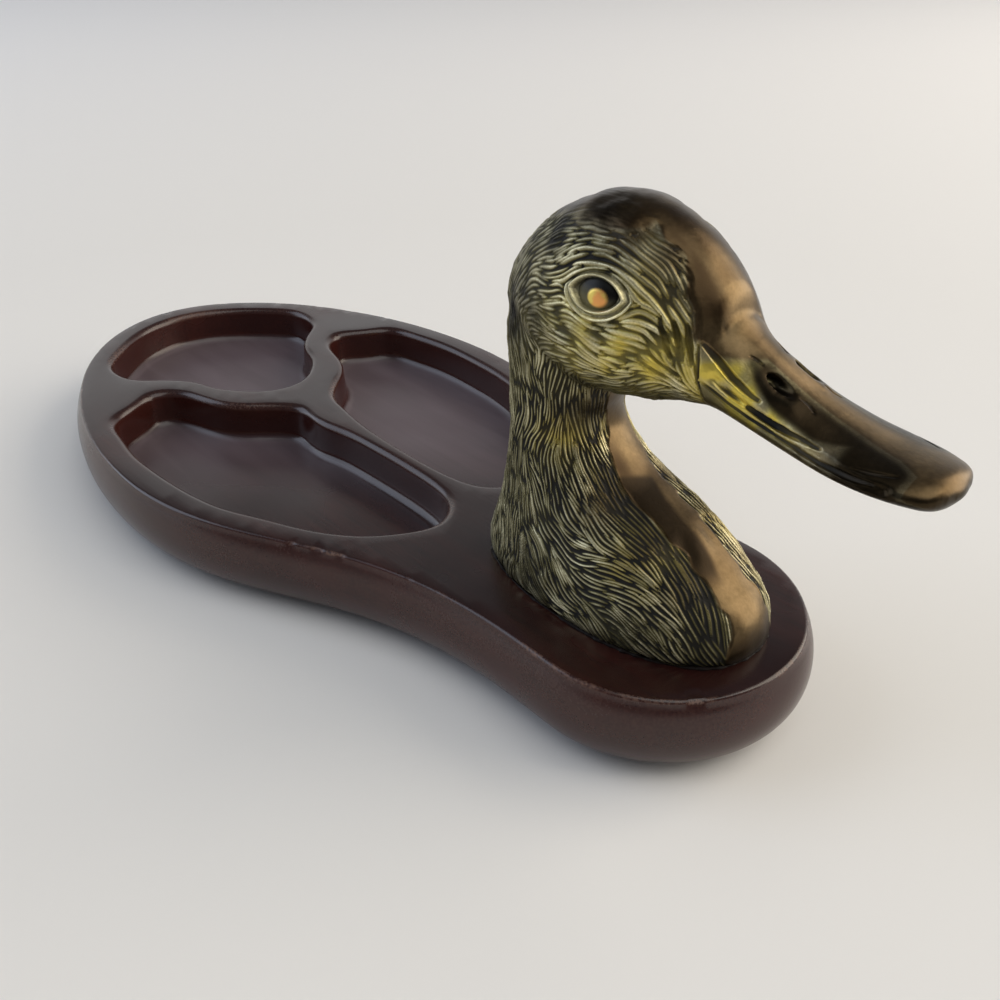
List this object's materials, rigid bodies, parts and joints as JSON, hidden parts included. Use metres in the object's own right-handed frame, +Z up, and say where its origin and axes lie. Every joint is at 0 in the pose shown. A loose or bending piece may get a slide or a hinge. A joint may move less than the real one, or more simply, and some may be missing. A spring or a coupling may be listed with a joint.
{
  "type": "duck head valet tray",
  "caption": "Pear-shaped hardwood valet tray with carved pockets for keys and coins, and a hollow cast brass duck head screwed to its narrow end.",
  "frame": {"origin": "on the underside of the felt, on the centre line, midway along the tray's length", "axes": "+X runs along the tray towards the duck's bill, +Y to the duck's left, +Z up"},
  "size_m": [0.3078, 0.1396, 0.115],
  "materials": {
    "stained_wood": "dark mahogany stain under satin lacquer, edges worn",
    "antique_brass": "cast brass with dark patina in the feathering and polished crown, breast and bill",
    "zinc_steel": "zinc plated",
    "felt": "matt felt"
  },
  "bodies": {
    "root": {"tray_body": "stained_wood", "duck_head": "antique_brass", "front_screw": "zinc_steel", "rear_screw": "zinc_steel", "front_washer": "zinc_steel", "rear_washer": "zinc_steel", "base_felt": "felt"}
  },
  "joints": []
}
